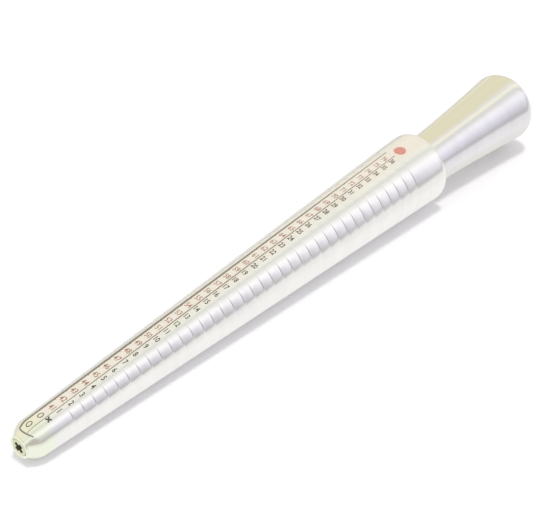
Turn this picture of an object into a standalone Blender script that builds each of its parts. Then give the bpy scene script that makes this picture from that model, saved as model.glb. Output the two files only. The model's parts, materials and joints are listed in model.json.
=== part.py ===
"""Ring mandrel: a hollow tapered gauge for reading the size of a finger ring.

The gauge body and a flared handle are drawn together by a tie rod, which a cross-recessed
screw holds in the nose and a nut holds inside the handle. Metres, +Z up. The mandrel lies
on the lowest facet of its taper, with its nose towards -X.
"""
import math

import bmesh
import bpy
from mathutils import Matrix, Vector

# Scale: each turned line is where a ring of one inside girth stops
LINE_COUNT = 36
LINE_PITCH = 0.0043
FIRST_GIRTH = 0.041
LAST_GIRTH = 0.076
LINE_WIDTH = 0.0004
LINE_DEPTH = 0.00015

# Gauge body
LEAD_LENGTH = 0.0160
TAIL_LENGTH = 0.0155
NOSE_LENGTH = 0.0057
NOSE_LAND = 0.0007
NOSE_RIM_LENGTH = 0.0004
NOSE_RIM_STEP = 0.0003
NOSE_WALL = 0.0073
BODY_WALL = 0.0020
REAR_EDGE_LENGTH = 0.0026
REAR_EDGE_DROP = 0.0012
SOCKET_STEP = 0.0006
SOCKET_DEPTH = 0.0060

# Tip screw
SCREW_LENGTH = 0.0140
SCREW_RADIUS = 0.0015
SCREW_HEAD_RADIUS = 0.00275
RECESS_SPAN = 0.0044
RECESS_WIDTH = 0.0017
RECESS_DEPTH = 0.0018

# Tie rod and its nut and washers
ROD_RADIUS = 0.0030
ROD_CHAMFER = 0.0005
ROD_PROTRUSION = 0.0016
TAPPED_RUN_OUT = 0.0010
NUT_HEIGHT = 0.0050
NUT_WALL = 0.0020
WASHER_LIP = 0.0002
WASHER_THICKNESS = 0.0016
SPRING_INSET = 0.0003
SPRING_THICKNESS = 0.0016
SPRING_SLOT = 0.0008

# End plug and handle
SPIGOT_WALL = 0.0025
SPIGOT_LENGTH = 0.0060
HANDLE_LENGTH = 0.0534
NECK_WALL = 0.0019
SPANNER_ROOM = 0.0010
WEB_THICKNESS = 0.0040
RIM_RADIUS = 0.01245
BUTT_ROUNDING = 0.0060
CAP_LEDGE = 0.0010
CAP_THICKNESS = 0.0035

# Fits: the gap between pieces that touch, and how far a cutter runs past what it cuts
FIT_GAP = 0.0003
CUT_OVERRUN = 0.0010
WELD_DISTANCE = 0.000001

# Counts and angles of the turned shapes
BODY_SEGMENTS = 32
HANDLE_SEGMENTS = 64
SMALL_SEGMENTS = 24
NUT_SIDES = 6
NOSE_STEPS = 8
EDGE_STEPS = 4
FLARE_STEPS = 12
BUTT_STEPS = 10
FLARE_POWER = 1.4
CREASE_ANGLE = math.radians(30)
NUT_CHAMFER_ANGLE = math.radians(30)
SPRING_SLOT_ANGLE = math.radians(35)
RECESS_FLOOR_SHARE = 0.40
RECESS_ANGLE = math.pi / 4 - math.pi / BODY_SEGMENTS

# Finishes: colour and roughness
ALUMINIUM_FINISH = ((0.90, 0.90, 0.89), 0.24)
TURNED_FINISH = ((0.86, 0.86, 0.84), 0.26)
ZINC_FINISH = ((0.72, 0.72, 0.69), 0.32)

# What follows from the values above
BODY_LENGTH = LEAD_LENGTH + (LINE_COUNT - 1) * LINE_PITCH + TAIL_LENGTH
TAPER_SLOPE = (LAST_GIRTH - FIRST_GIRTH) / ((LINE_COUNT - 1) * LINE_PITCH) / (2 * math.pi)
SCREW_HOLE_RADIUS = SCREW_RADIUS + FIT_GAP
SCREW_HEAD_HEIGHT = SCREW_HEAD_RADIUS - SCREW_RADIUS
NOSE_RIM_RADIUS = SCREW_HEAD_RADIUS + FIT_GAP + NOSE_LAND
NOSE_NECK_RADIUS = NOSE_RIM_RADIUS - NOSE_RIM_STEP
ROD_HOLE_RADIUS = ROD_RADIUS + FIT_GAP
NUT_FLAT_RADIUS = ROD_RADIUS + NUT_WALL
NUT_CORNER_RADIUS = NUT_FLAT_RADIUS / math.cos(math.pi / NUT_SIDES)
WASHER_RADIUS = NUT_CORNER_RADIUS + WASHER_LIP
SPRING_RADIUS = NUT_CORNER_RADIUS - SPRING_INSET
SPIGOT_RADIUS = ROD_HOLE_RADIUS + SPIGOT_WALL
SPIGOT_SOCKET_FLOOR = SPIGOT_LENGTH + FIT_GAP
WEB_BACK = SPIGOT_SOCKET_FLOOR + WEB_THICKNESS
HANDLE_BORE_RADIUS = WASHER_RADIUS + SPANNER_ROOM
NECK_RADIUS = HANDLE_BORE_RADIUS + NECK_WALL
CAP_RADIUS = HANDLE_BORE_RADIUS + CAP_LEDGE
BUTT_FLAT_RADIUS = RIM_RADIUS - BUTT_ROUNDING
RIM_PLACE = HANDLE_LENGTH - BUTT_ROUNDING


def taper_radius(place):
    """Outer radius of the gauge body at a distance from the nose's face."""
    return FIRST_GIRTH / (2 * math.pi) + (place - LEAD_LENGTH) * TAPER_SLOPE


def flare_radius(place):
    """Outer radius of the handle at a distance behind the gauge body's end."""
    return NECK_RADIUS + (RIM_RADIUS - NECK_RADIUS) * (place / RIM_PLACE) ** FLARE_POWER


def butt_place(radius):
    """Where the butt's rounded end lies at a radius, behind the gauge body's end."""
    past_flat = max(radius - BUTT_FLAT_RADIUS, 0)
    return RIM_PLACE + math.sqrt(BUTT_ROUNDING ** 2 - past_flat ** 2)


def butt_outline(inner, outer):
    """Points on the butt from one radius out to another: its flat face, then its round edge."""
    points = [(inner, butt_place(inner))]
    for step in range(BUTT_STEPS + 1):
        angle = math.pi / 2 * (1 - step / BUTT_STEPS)
        radius = BUTT_FLAT_RADIUS + BUTT_ROUNDING * math.cos(angle)
        if inner < radius < outer:
            points.append((radius, RIM_PLACE + BUTT_ROUNDING * math.sin(angle)))
    points.append((outer, butt_place(outer)))
    return points


def make_material(name, finish):
    """A plain metal finish."""
    colour, roughness = finish
    material = bpy.data.materials.new(name)
    material.use_nodes = True
    shader = material.node_tree.nodes["Principled BSDF"]
    shader.inputs["Base Color"].default_value = (*colour, 1)
    shader.inputs["Metallic"].default_value = 1
    shader.inputs["Roughness"].default_value = roughness
    return material


def make_collection(name):
    """A new collection in the scene."""
    collection = bpy.data.collections.new(name)
    bpy.context.scene.collection.children.link(collection)
    return collection


def turned(name, collection, outline, segments, closed=True):
    """A turned piece about its own Z axis. The outline is (radius, height) points that run
    down the outer side. A closed outline joins its last point to its first, as round a bore."""
    count = len(outline)
    edges = [(index, index + 1) for index in range(count - 1)]
    if closed:
        edges.append((count - 1, 0))
    mesh = bpy.data.meshes.new(name)
    mesh.from_pydata([(radius, 0, height) for radius, height in outline], edges, [])
    piece = bpy.data.objects.new(name, mesh)
    collection.objects.link(piece)
    screw = piece.modifiers.new("Turn", "SCREW")
    screw.axis = "Z"
    screw.angle = 2 * math.pi
    screw.steps = segments
    screw.render_steps = segments
    screw.use_merge_vertices = True
    screw.merge_threshold = WELD_DISTANCE
    return piece


def cut(piece, cutter, operation="DIFFERENCE"):
    """Cuts the piece with another shape."""
    boolean = piece.modifiers.new("Cut", "BOOLEAN")
    boolean.operation = operation
    boolean.solver = "EXACT"
    boolean.object = cutter


def mark_cutter(cutter, owner):
    """A cutter shows as a wire only, and stays with the piece that it cuts."""
    cutter.parent = owner
    cutter.display_type = "WIRE"
    cutter.hide_render = True
    return cutter


def freeze(piece, material):
    """Swaps the piece's modifiers for their mesh, smooth but for its real edges."""
    graph = bpy.context.evaluated_depsgraph_get()
    mesh = bpy.data.meshes.new_from_object(piece.evaluated_get(graph))
    mesh.name = piece.name
    piece.modifiers.clear()
    piece.data = mesh
    mesh.shade_smooth()
    mesh.set_sharp_from_angle(angle=CREASE_ANGLE)
    mesh.materials.clear()
    mesh.materials.append(material)


def place_on_axis(piece, rig, place):
    """Puts the piece on the mandrel's axis, at a distance from the nose's face."""
    piece.parent = rig
    piece.location = (0, 0, place)
    return piece


def nose_outline():
    """The rounded nose, from its shoulder down to the low rim round the screw."""
    shoulder = taper_radius(NOSE_LENGTH)
    points = []
    for step in range(NOSE_STEPS + 1):
        share = 1 - step / NOSE_STEPS
        rise = 1 - (1 - share) ** 2
        radius = NOSE_NECK_RADIUS + (shoulder - NOSE_NECK_RADIUS) * rise
        points.append((radius, NOSE_RIM_LENGTH + (NOSE_LENGTH - NOSE_RIM_LENGTH) * share))
    return points + [(NOSE_RIM_RADIUS, NOSE_RIM_LENGTH), (NOSE_RIM_RADIUS, 0)]


def rear_edge_outline():
    """The rounded shoulder of the gauge body's big end, from its face down to the taper. It
    reaches further along the body than it drops."""
    centre_place = BODY_LENGTH - REAR_EDGE_LENGTH
    centre_radius = taper_radius(centre_place) - REAR_EDGE_DROP
    points = []
    for step in range(EDGE_STEPS + 1):
        angle = math.pi / 2 * (1 - step / EDGE_STEPS)
        radius = centre_radius + REAR_EDGE_DROP * math.cos(angle)
        points.append((radius, centre_place + REAR_EDGE_LENGTH * math.sin(angle)))
    return points


def line_outline():
    """The V-shaped grooves of the scale, from the largest size down to the smallest."""
    points = []
    for line in reversed(range(LINE_COUNT)):
        place = LEAD_LENGTH + line * LINE_PITCH
        behind = place + LINE_WIDTH / 2
        before = place - LINE_WIDTH / 2
        points.append((taper_radius(behind), behind))
        points.append((taper_radius(place) - LINE_DEPTH, place))
        points.append((taper_radius(before), before))
    return points


def hollow_radius(place):
    """Inner radius of the gauge body's hollow at a distance from the nose's face."""
    return taper_radius(place) - BODY_WALL


def socket_radius():
    """Inner radius of the seat that the end plug sits in, a step wider than the hollow."""
    return hollow_radius(BODY_LENGTH - SOCKET_DEPTH) + SOCKET_STEP


def make_gauge_body(collection):
    """The tapered shell: graduated outside, with a countersunk nose, a long hollow and a
    seat for the end plug."""
    socket_floor = BODY_LENGTH - SOCKET_DEPTH
    inside = [
        (SCREW_HEAD_RADIUS + FIT_GAP, 0),
        (SCREW_HOLE_RADIUS, SCREW_HEAD_HEIGHT),
        (SCREW_HOLE_RADIUS, NOSE_WALL),
        (hollow_radius(NOSE_WALL), NOSE_WALL),
        (hollow_radius(socket_floor), socket_floor),
        (socket_radius(), socket_floor),
        (socket_radius(), BODY_LENGTH),
    ]
    outline = rear_edge_outline() + line_outline() + nose_outline() + inside
    return turned("gauge_body", collection, outline, BODY_SEGMENTS)


def recess_arm(name, collection, screw, length, width):
    """One tapered arm of the screw's cross recess, as a cutter."""
    mesh = bpy.data.meshes.new(name)
    shape = bmesh.new()
    bmesh.ops.create_cube(shape, size=1)
    for corner in shape.verts:
        deep = corner.co.z > 0
        narrowing = RECESS_FLOOR_SHARE if deep else 1
        corner.co.x *= length * narrowing
        corner.co.y *= width * narrowing
        corner.co.z = RECESS_DEPTH if deep else -CUT_OVERRUN
    shape.to_mesh(mesh)
    shape.free()
    arm = bpy.data.objects.new(name, mesh)
    arm.rotation_euler = (0, 0, RECESS_ANGLE)
    collection.objects.link(arm)
    return mark_cutter(arm, screw)


def make_tip_screw(collection, cutters):
    """The countersunk screw in the nose, with a cross recess in its head."""
    outline = [
        (0, SCREW_LENGTH),
        (SCREW_RADIUS, SCREW_LENGTH),
        (SCREW_RADIUS, SCREW_HEAD_HEIGHT),
        (SCREW_HEAD_RADIUS, 0),
        (0, 0),
    ]
    screw = turned("tip_screw", collection, outline, SMALL_SEGMENTS, closed=False)
    cut(screw, recess_arm("recess_arm_a", cutters, screw, RECESS_SPAN, RECESS_WIDTH))
    cut(screw, recess_arm("recess_arm_b", cutters, screw, RECESS_WIDTH, RECESS_SPAN))
    return screw


def make_tie_rod(collection, length):
    """The rod through the hollow, tapped in front for the screw, with its height from its front."""
    tapped_depth = SCREW_LENGTH + TAPPED_RUN_OUT - (NOSE_WALL + FIT_GAP)
    outline = [
        (0, length),
        (ROD_RADIUS - ROD_CHAMFER, length),
        (ROD_RADIUS, length - ROD_CHAMFER),
        (ROD_RADIUS, 0),
        (SCREW_HOLE_RADIUS, 0),
        (SCREW_HOLE_RADIUS, tapped_depth),
        (0, tapped_depth),
    ]
    return turned("tie_rod", collection, outline, SMALL_SEGMENTS, closed=False)


def make_end_plug(collection):
    """The disc that closes the big end, with the spigot that centres the handle. Its height
    is counted from the gauge body's end."""
    disc_radius = socket_radius() - FIT_GAP
    disc_front = FIT_GAP - SOCKET_DEPTH
    outline = [
        (ROD_HOLE_RADIUS, SPIGOT_LENGTH),
        (SPIGOT_RADIUS, SPIGOT_LENGTH),
        (SPIGOT_RADIUS, 0),
        (disc_radius, 0),
        (disc_radius, disc_front),
        (ROD_HOLE_RADIUS, disc_front),
    ]
    return turned("end_plug", collection, outline, BODY_SEGMENTS)


def make_handle(collection):
    """The flared handle: a socket for the spigot, a web for the nut and a bore from behind."""
    flare = []
    for step in range(1, FLARE_STEPS + 1):
        place = RIM_PLACE + (FIT_GAP - RIM_PLACE) * step / FLARE_STEPS
        flare.append((flare_radius(place), place))
    cap_floor = HANDLE_LENGTH - CAP_THICKNESS - FIT_GAP
    inside = [
        (SPIGOT_RADIUS + FIT_GAP, FIT_GAP),
        (SPIGOT_RADIUS + FIT_GAP, SPIGOT_SOCKET_FLOOR),
        (ROD_HOLE_RADIUS, SPIGOT_SOCKET_FLOOR),
        (ROD_HOLE_RADIUS, WEB_BACK),
        (HANDLE_BORE_RADIUS, WEB_BACK),
        (HANDLE_BORE_RADIUS, cap_floor),
        (CAP_RADIUS + FIT_GAP, cap_floor),
    ]
    outline = butt_outline(CAP_RADIUS + FIT_GAP, RIM_RADIUS) + flare + inside
    return turned("handle", collection, outline, HANDLE_SEGMENTS)


def make_handle_cap(collection):
    """The plug that closes the bore and carries the middle of the rounded butt."""
    cap_front = HANDLE_LENGTH - CAP_THICKNESS
    outline = butt_outline(0, CAP_RADIUS)
    outline += [(CAP_RADIUS, cap_front), (0, cap_front)]
    return turned("handle_cap", collection, outline, HANDLE_SEGMENTS, closed=False)


def make_ring(name, collection, radius, thickness):
    """A flat ring that slips over the tie rod."""
    outline = [
        (ROD_HOLE_RADIUS, thickness),
        (radius, thickness),
        (radius, 0),
        (ROD_HOLE_RADIUS, 0),
    ]
    return turned(name, collection, outline, SMALL_SEGMENTS)


def make_spring_washer(collection, cutters):
    """The lock washer, split by one slanted slot."""
    washer = make_ring("spring_washer", collection, SPRING_RADIUS, SPRING_THICKNESS)
    reach = SPRING_RADIUS + CUT_OVERRUN
    mesh = bpy.data.meshes.new("spring_slot")
    shape = bmesh.new()
    bmesh.ops.create_cube(shape, size=1)
    bmesh.ops.scale(shape, verts=shape.verts, vec=(reach, SPRING_SLOT, reach))
    shape.to_mesh(mesh)
    shape.free()
    slot = bpy.data.objects.new("spring_slot", mesh)
    slot.location = (reach / 2, 0, SPRING_THICKNESS / 2)
    slot.rotation_euler = (SPRING_SLOT_ANGLE, 0, 0)
    cutters.objects.link(slot)
    cut(washer, mark_cutter(slot, washer))
    return washer


def make_tie_nut(collection, cutters):
    """The hexagon nut, bored for the rod and chamfered on both faces."""
    mesh = bpy.data.meshes.new("tie_nut")
    shape = bmesh.new()
    bmesh.ops.create_cone(
        shape,
        cap_ends=True,
        segments=NUT_SIDES,
        radius1=NUT_CORNER_RADIUS,
        radius2=NUT_CORNER_RADIUS,
        depth=NUT_HEIGHT,
        matrix=Matrix.Translation((0, 0, NUT_HEIGHT / 2)),
    )
    shape.to_mesh(mesh)
    shape.free()
    nut = bpy.data.objects.new("tie_nut", mesh)
    collection.objects.link(nut)
    reach = NUT_CORNER_RADIUS + CUT_OVERRUN
    drop = (reach - NUT_FLAT_RADIUS) * math.tan(NUT_CHAMFER_ANGLE)
    lens = [
        (ROD_HOLE_RADIUS, NUT_HEIGHT),
        (NUT_FLAT_RADIUS, NUT_HEIGHT),
        (reach, NUT_HEIGHT - drop),
        (reach, drop),
        (NUT_FLAT_RADIUS, 0),
        (ROD_HOLE_RADIUS, 0),
    ]
    blank = mark_cutter(turned("nut_blank", cutters, lens, SMALL_SEGMENTS), nut)
    cut(nut, blank, "INTERSECT")
    return nut


def make_rig(collection):
    """The empty that carries every piece: its Z runs along the mandrel's axis, tilted so that
    the lowest facet of the taper is level."""
    facet_half = math.pi / BODY_SEGMENTS
    tilt = math.atan(TAPER_SLOPE * math.cos(facet_half))
    rig = bpy.data.objects.new("mandrel_axis", None)
    collection.objects.link(rig)
    turn = Matrix.Rotation(math.pi / 2 - tilt, 4, "Y") @ Matrix.Rotation(facet_half, 4, "Z")
    rig.rotation_euler = turn.to_euler()
    return rig


def lay_down(rig, pieces):
    """Moves the mandrel so that its box is centred over the origin and rests at height zero."""
    bpy.context.view_layer.update()
    points = [piece.matrix_world @ vertex.co for piece in pieces for vertex in piece.data.vertices]
    low = [min(point[axis] for point in points) for axis in range(3)]
    high = [max(point[axis] for point in points) for axis in range(3)]
    rig.location = -Vector(((low[0] + high[0]) / 2, (low[1] + high[1]) / 2, low[2]))


def stack_places():
    """Where the washers, the nut and the rod's end stand on the axis, from the nose's face."""
    washer = BODY_LENGTH + WEB_BACK + FIT_GAP
    spring = washer + WASHER_THICKNESS + FIT_GAP
    nut = spring + SPRING_THICKNESS + FIT_GAP
    rod_end = nut + NUT_HEIGHT + ROD_PROTRUSION
    return washer, spring, nut, rod_end


def build():
    """Makes every piece and assembles them on the axis."""
    for thing in list(bpy.data.objects):
        bpy.data.objects.remove(thing)
    parts = make_collection("ring_mandrel")
    cutters = make_collection("cutters")
    aluminium = make_material("satin_aluminium", ALUMINIUM_FINISH)
    turned_metal = make_material("turned_aluminium", TURNED_FINISH)
    zinc = make_material("zinc_plated_steel", ZINC_FINISH)
    rig = make_rig(parts)
    washer_place, spring_place, nut_place, rod_end = stack_places()
    rod_front = NOSE_WALL + FIT_GAP
    washer = make_ring("plain_washer", parts, WASHER_RADIUS, WASHER_THICKNESS)
    fitted = [
        (make_gauge_body(parts), 0, aluminium),
        (make_tip_screw(parts, cutters), 0, zinc),
        (make_tie_rod(parts, rod_end - rod_front), rod_front, zinc),
        (make_end_plug(parts), BODY_LENGTH, turned_metal),
        (make_handle(parts), BODY_LENGTH, turned_metal),
        (make_handle_cap(parts), BODY_LENGTH, turned_metal),
        (washer, washer_place, zinc),
        (make_spring_washer(parts, cutters), spring_place, zinc),
        (make_tie_nut(parts, cutters), nut_place, zinc),
    ]
    bpy.context.view_layer.update()
    for piece, place, material in fitted:
        freeze(piece, material)
        place_on_axis(piece, rig, place)
    lay_down(rig, [piece for piece, place, material in fitted])


build()
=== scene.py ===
"""Looks of the ring mandrel: fine turned surfaces, the printed scale, finishes, room and camera."""
import json
import math

import bmesh
import bpy
from mathutils import Matrix, Vector


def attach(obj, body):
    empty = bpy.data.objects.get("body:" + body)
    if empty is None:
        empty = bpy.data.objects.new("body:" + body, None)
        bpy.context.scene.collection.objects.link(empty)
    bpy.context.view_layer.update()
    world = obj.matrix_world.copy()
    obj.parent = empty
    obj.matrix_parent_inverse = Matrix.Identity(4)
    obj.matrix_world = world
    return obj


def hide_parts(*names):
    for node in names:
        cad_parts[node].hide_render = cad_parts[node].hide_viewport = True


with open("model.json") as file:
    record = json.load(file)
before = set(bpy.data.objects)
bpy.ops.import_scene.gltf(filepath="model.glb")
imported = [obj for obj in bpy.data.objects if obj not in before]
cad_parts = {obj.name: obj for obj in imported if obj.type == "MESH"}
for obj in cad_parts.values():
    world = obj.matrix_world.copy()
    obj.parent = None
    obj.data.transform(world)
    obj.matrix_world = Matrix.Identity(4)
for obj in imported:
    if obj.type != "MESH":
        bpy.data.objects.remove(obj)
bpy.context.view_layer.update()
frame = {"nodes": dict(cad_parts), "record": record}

# Scale: 36 lines, each where the taper has one more millimetre of girth
LINE_COUNT = 36
LINE_PITCH = 0.0043
FIRST_GIRTH = 0.041
LAST_GIRTH = 0.076
FIRST_GIRTH_NUMBER = 41
FIRST_SIZE_NUMBER = 1
LINE_WIDTH = 0.0004
LINE_DEPTH = 0.00015

# Gauge body
LEAD_LENGTH = 0.0160
TAIL_LENGTH = 0.0155
NOSE_LENGTH = 0.0057
NOSE_RIM_RADIUS = 0.00375
NOSE_RIM_LENGTH = 0.0004
NOSE_RIM_STEP = 0.0003
NOSE_RIM_EDGE = 0.00019
NOSE_WALL = 0.0073
BODY_WALL = 0.0020
REAR_EDGE_LENGTH = 0.0026
REAR_EDGE_DROP = 0.0012
SOCKET_STEP = 0.0006
SOCKET_DEPTH = 0.0060

# Tip screw
SCREW_LENGTH = 0.0140
SCREW_RADIUS = 0.0015
SCREW_HEAD_RADIUS = 0.00275
SCREW_EDGE = 0.0002
RECESS_SPAN = 0.0044
RECESS_WIDTH = 0.0017
RECESS_DEPTH = 0.0018
RECESS_FLOOR_SHARE = 0.40
RECESS_ANGLE = math.pi / 4
# Depths along the axis at which the recess's painted shade starts and is full
RECESS_SHADE_START_DEPTH = -0.0005
RECESS_SHADE_FULL_DEPTH = -0.0001

# End plug and handle
ROD_HOLE_RADIUS = 0.0033
SPIGOT_RADIUS = 0.0058
SPIGOT_LENGTH = 0.0060
HANDLE_LENGTH = 0.0534
NECK_RADIUS = 0.00887
NECK_EDGE = 0.0002
RIM_RADIUS = 0.01245
BUTT_ROUNDING = 0.0060
FLARE_POWER = 1.4
HANDLE_BORE_RADIUS = 0.00697
WEB_FRONT = 0.0063
WEB_THICKNESS = 0.0040
CAP_RADIUS = 0.00797
CAP_THICKNESS = 0.0035
CAP_EDGE = 0.0001
FIT_GAP = 0.0003
CUT_OVERRUN = 0.0010
WELD_DISTANCE = 0.000001

# The solids have flat facets: a round piece inside them has the facets' middle radius
BODY_FACETS = 32
HANDLE_FACETS = 64
SCREW_FACETS = 24
FINE_SEGMENTS = 256
SCREW_SEGMENTS = 96
NOSE_STEPS = 32
EDGE_STEPS = 10
FLARE_STEPS = 48
BUTT_STEPS = 28
CREASE_ANGLE = math.radians(28)

# A turned line's section: how far from its middle, in half widths, and how deep
GROOVE_SHARES = (
    (-1.2, 0),
    (-0.9, 0.07),
    (-0.12, 1),
    (0.12, 1),
    (0.9, 0.07),
    (1.2, 0),
)

# Painted light in the metal: painted shade in the turned lines, a painted green reflection tint on
# the nose, and painted reflections and shade on the handle by side. Angles run round the axis,
# from the top towards the camera's side. The line shade's distances run from a line's middle, and
# the nose tint's from the nose's face.
LINE_SHADE_NEAR = 0.00008
LINE_SHADE_FAR = 0.00036
LINE_SHADE_START = math.radians(31)
LINE_SHADE_FULL = math.radians(50)
LINE_SHADE_WANE = math.radians(62)
LINE_SHADE_END = math.radians(68)
NOSE_TINT_FULL = 0.006
NOSE_TINT_END = 0.011
TOP_START = math.radians(11)
TOP_END = math.radians(19)
RIDGE_START = math.radians(18)
RIDGE_PLACE = math.radians(25)
RIDGE_END = math.radians(33)
UNDER_START = math.radians(84)
UNDER_FULL = math.radians(124)
FAR_START = math.radians(-18)
FAR_FULL = math.radians(-32)

# Finishes. A noise's scale is given across the axis twice, then along it
RING_SCALE = (60, 60, 2600)
BAND_SCALE = (40, 40, 420)
STREAK_SCALE = (2600, 2600, 24)
CLOUD_SCALE = (150, 150, 60)
TINT_LOW = 0.35
TINT_HIGH = 0.65
CLOUD_ROUGHNESS = 0.10
STREAK_ROUGHNESS = 0.06
INK_WEAR_SCALE = (1800, 1800, 1800)
INK_WEAR_LOW = 0.52
INK_WEAR_HIGH = 0.80
INK_GRAIN_SCALE = (5000, 5000, 5000)
INK_GRAIN_ROUGHNESS = 0.2
INK_GRAIN_DEPTH = 0.000004
INK_ROUGHNESS = 0.40
DUST_SCALE = (2500, 2500, 2500)
DUST_LOW = 0.45
DUST_HIGH = 0.75
DUST_DEPTH = 0.00002
# Painted shade in the screw's recess: dark olive and mottled
RECESS_SHADE_COLOUR = (0.095, 0.09, 0.04, 1)
RECESS_DUSTY_SHADE_COLOUR = (0.20, 0.19, 0.10, 1)
RECESS_MOUTH_COLOUR = (0.72, 0.72, 0.57, 1)
RECESS_ROUGHNESS = 0.3
RECESS_SHADE_ROUGHNESS = 0.35
FLOOR_FIBRE_SCALE = (90, 90, 90)
FLOOR_ROUGHNESS = 0.9
BLACK = (0, 0, 0, 1)
WHITE = (1, 1, 1, 1)

# The mix node's sockets for colours
MIX_FIRST = 6
MIX_SECOND = 7
MIX_RESULT = 2

# Print. An arc is a length along the surface, from the top towards the numbers' foot.
# Several values hold at evenly spaced places, from the table's start near the nose to its end.
TABLE_START = -0.0140
TABLE_END = 0.1512
OUTER_LINE_ARCS = (-0.00182, -0.00288)
OUTER_LINE_WIDTHS = (0.00080, 0.00106, 0.00096, 0.00070, 0.00038)
MIDDLE_LINE_ARCS = (0.00190, 0.00087)
MIDDLE_LINE_WIDTHS = (0.00018, 0.00030, 0.00037, 0.00034, 0.00028)
FRONT_LINE_WIDTH = 0.00037
FRONT_LINE_FOOT = math.radians(41)
FRONT_LINE_MIDDLE = math.radians(3)
FRONT_LINE_BOW = 0.0010
FRONT_LINE_STEPS = 24
INK_THICKNESS = 0.00002
INK_SINK = 0.00001
INK_STEP = 0.00025
WEAR_START = 0.115
WEAR_END = 0.165
WEAR_SHARE = 0.15
DIGIT_HEIGHT = 0.00205
DIGIT_RESOLUTION = 4
GIRTH_WEIGHT = 0.00001
SIZE_WEIGHT = 0.00004
GIRTH_WIDTH_SHARE = 0.77
GIRTH_SET_BACK = 0.66
GIRTH_INSET = 0.0003
SIZE_WIDTH_SHARE = 0.64
SIZE_SET_BACK = 0.5
SIZE_INSETS = (0.00076, 0.00040)
SIGN_LENGTH = 0.0022
SIGN_WIDTH = 0.0016
SIGN_LINE = 0.00028
SIGN_ANGLE = math.radians(2)
SIGN_SET_BACKS = (1.66, 2.66)
BOLD_SIGN_ANGLE = math.radians(26)
BOLD_SIGN_SET_BACK = 1.5
BOLD_SIGN_LENGTH = 0.0019
BOLD_SIGN_LINE = 0.00052
DOT_RADIUS = 0.0021
DOT_PLACE = 0.1545
DOT_ARC = 0.0004
DISC_SEGMENTS = 48

# Camera, fitted to the photograph's 534 by 529 frame
CAMERA_PLACE = (-0.325282, -0.28050, 0.32060)
CAMERA_AIM = (-0.01206, 0.001547, 0.011152)
CAMERA_LENS = 111.19

# Room
FLOOR_SIZE = 12.0
FLOOR_DROP = 0.00003
FLOOR_COLOUR = (0.80, 0.80, 0.80, 1)
FLOOR_FIBRE_COLOUR = (0.79, 0.79, 0.795, 1)
FLOOR_LIFT = 0.24
FLOOR_LIFT_IN_METAL = 0.84
FLOOR_GLOW_SHARE = 0.85
FLOOR_GLOW = (1.05, 1.035, 1.01, 1)
SHADOW_GLOW = (1.05, 1.0, 1.05, 1)
DUSK_NEAR = 0.08
DUSK_FAR = 0.16
DUSK_SHARE = 0.42
FIRST_DUSK_NEAR = 0.018
FIRST_DUSK_FAR = 0.045
FIRST_DUSK_SHARE = 0.09
SOFT_LIGHT = 0.69
LAMP_STRENGTH = 1.2
LAMP_SPREAD = math.radians(9)
LAMP_LEAN = math.radians(5.5)

# The room's tones by direction across the mandrel, in degrees from overhead to the camera's side
ROOM_TONES = (
    (-90, (0.91, 0.855, 0.74)),
    (-40, (0.96, 0.895, 0.775)),
    (-12, (0.935, 0.875, 0.76)),
    (4, (0.94, 0.93, 0.82)),
    (8, (0.95, 0.94, 0.84)),
    (18, (0.75, 0.75, 0.70)),
    (30, (0.95, 0.935, 0.89)),
    (41, (1.12, 1.10, 1.10)),
    (53, (1.03, 1.01, 1.05)),
    (64, (0.84, 0.83, 0.88)),
    (76, (0.745, 0.72, 0.77)),
    (90, (0.56, 0.55, 0.57)),
)
FRONT_DARK = (0.56, 0.50, 0.47, 1)
FRONT_DIRECTION = (-0.62, -0.76, 0.18)
FRONT_NEAR = math.cos(math.radians(12))
FRONT_FAR = math.cos(math.radians(30))
LOW_START = math.radians(48)
LOW_FULL = math.radians(62)
SMALL_END_WAY = 0.43
BIG_END_WAY = 0.61
SMALL_END_LOSS = -0.11
BIG_END_GAIN = 0.12

# What follows from the values above and from the frame
BODY_LENGTH = LEAD_LENGTH + (LINE_COUNT - 1) * LINE_PITCH + TAIL_LENGTH
TAPER_SLOPE = (LAST_GIRTH - FIRST_GIRTH) / ((LINE_COUNT - 1) * LINE_PITCH) / (2 * math.pi)
BODY_INSET = math.cos(math.pi / BODY_FACETS)
HANDLE_INSET = math.cos(math.pi / HANDLE_FACETS)
SCREW_INSET = math.cos(math.pi / SCREW_FACETS)
BUTT_FLAT_RADIUS = RIM_RADIUS - BUTT_ROUNDING
RIM_PLACE = HANDLE_LENGTH - BUTT_ROUNDING


def axis_frame():
    """The mandrel's own frame: Z along its axis from the nose's face, X up, Y to the camera."""
    butt = next(mount for mount in frame["record"]["mounts"] if mount["name"] == "butt_face")
    along = Vector(butt["axis"]).normalized()
    across = Vector((0, -1, 0))
    up = across.cross(along)
    nose = Vector(butt["pos_m"]) - along * (BODY_LENGTH + HANDLE_LENGTH)
    turn = Matrix((up, across, along)).transposed().to_4x4()
    return Matrix.Translation(nose) @ turn


AXIS_FRAME = axis_frame()


def taper_radius(place):
    """Radius of the plain taper at a distance from the nose's face."""
    return BODY_INSET * (FIRST_GIRTH / (2 * math.pi) + (place - LEAD_LENGTH) * TAPER_SLOPE)


def body_radius(place):
    """Outer radius of the gauge body at a distance from the nose's face, but for its lines."""
    if place >= NOSE_LENGTH:
        return taper_radius(place)
    neck = BODY_INSET * (NOSE_RIM_RADIUS - NOSE_RIM_STEP)
    share = (place - NOSE_RIM_LENGTH) / (NOSE_LENGTH - NOSE_RIM_LENGTH)
    return neck + (taper_radius(NOSE_LENGTH) - neck) * (1 - (1 - share) ** 2)


def add_node(tree, kind, **settings):
    """A node of a kind, with its settings."""
    node = tree.nodes.new(kind)
    for name, value in settings.items():
        setattr(node, name, value)
    return node


def feed(tree, socket, value):
    """Gives a socket a number or colour, or another node's output."""
    if isinstance(value, bpy.types.NodeSocket):
        tree.links.new(value, socket)
    else:
        socket.default_value = value


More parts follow.
